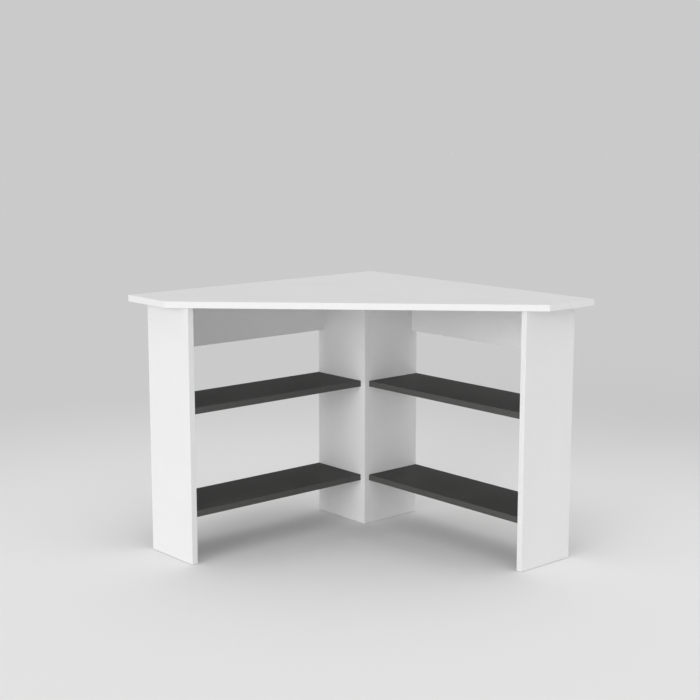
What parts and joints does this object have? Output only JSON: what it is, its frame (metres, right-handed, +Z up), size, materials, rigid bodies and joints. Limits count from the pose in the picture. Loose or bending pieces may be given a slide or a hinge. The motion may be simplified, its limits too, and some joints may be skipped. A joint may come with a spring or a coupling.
{
  "type": "corner desk",
  "caption": "Corner desk with a diagonal front edge, white side panels, back rails and corner column, and open anthracite shelves under each wing.",
  "frame": {"origin": "on the floor, under the middle of the square that the top is cut from", "axes": "+Z up. The room corner is at -X +Y: the right wing's wall edge faces +Y, the left wing's wall edge faces -X, and the diagonal front edge faces +X -Y"},
  "size_m": [0.925, 0.925, 0.75],
  "materials": {
    "white_board": "white melamine-faced chipboard, satin with a fine pearl texture",
    "anthracite_board": "anthracite melamine-faced chipboard, satin with a fine texture",
    "white_band": "white ABS edge band, satin",
    "anthracite_band": "anthracite ABS edge band, satin",
    "cam_zinc": "die-cast zinc, dull",
    "bolt_steel": "zinc-plated steel",
    "dowel_beech": "bare fluted beech",
    "cap_white": "white polyethylene",
    "cap_grey": "anthracite polyethylene",
    "glide_plastic": "off-white polyethylene"
  },
  "bodies": {
    "root": {"column_cam_bolts": "bolt_steel", "column_cam_caps": "cap_white", "column_cam_locks": "cam_zinc", "column_dowels": "dowel_beech", "floor_glides": "glide_plastic", "left_back_rail": "white_board", "left_back_rail_cam_bolts": "bolt_steel", "left_back_rail_cam_caps": "cap_white", "left_back_rail_cam_locks": "cam_zinc", "left_back_rail_dowels": "dowel_beech", "left_back_rail_edge_band": "white_band", "left_column_panel": "white_board", "left_column_panel_edge_bands": "white_band", "left_lower_shelf": "anthracite_board", "left_lower_shelf_cam_bolts": "bolt_steel", "left_lower_shelf_cam_caps": "cap_grey", "left_lower_shelf_cam_locks": "cam_zinc", "left_lower_shelf_dowels": "dowel_beech", "left_lower_shelf_edge_band": "anthracite_band", "left_side_panel": "white_board", "left_side_panel_edge_bands": "white_band", "left_upper_shelf": "anthracite_board", "left_upper_shelf_cam_bolts": "bolt_steel", "left_upper_shelf_cam_caps": "cap_grey", "left_upper_shelf_cam_locks": "cam_zinc", "left_upper_shelf_dowels": "dowel_beech", "left_upper_shelf_edge_band": "anthracite_band", "right_back_rail": "white_board", "right_back_rail_cam_bolts": "bolt_steel", "right_back_rail_cam_caps": "cap_white", "right_back_rail_cam_locks": "cam_zinc", "right_back_rail_dowels": "dowel_beech", "right_back_rail_edge_band": "white_band", "right_column_panel": "white_board", "right_column_panel_edge_band": "white_band", "right_lower_shelf": "anthracite_board", "right_lower_shelf_cam_bolts": "bolt_steel", "right_lower_shelf_cam_caps": "cap_grey", "right_lower_shelf_cam_locks": "cam_zinc", "right_lower_shelf_dowels": "dowel_beech", "right_lower_shelf_edge_band": "anthracite_band", "right_side_panel": "white_board", "right_side_panel_edge_bands": "white_band", "right_upper_shelf": "anthracite_board", "right_upper_shelf_cam_bolts": "bolt_steel", "right_upper_shelf_cam_caps": "cap_grey", "right_upper_shelf_cam_locks": "cam_zinc", "right_upper_shelf_dowels": "dowel_beech", "right_upper_shelf_edge_band": "anthracite_band", "worktop": "white_board", "worktop_cam_bolts": "bolt_steel", "worktop_cam_caps": "cap_white", "worktop_cam_locks": "cam_zinc", "worktop_dowels": "dowel_beech", "worktop_edge_band": "white_band"}
  },
  "joints": []
}
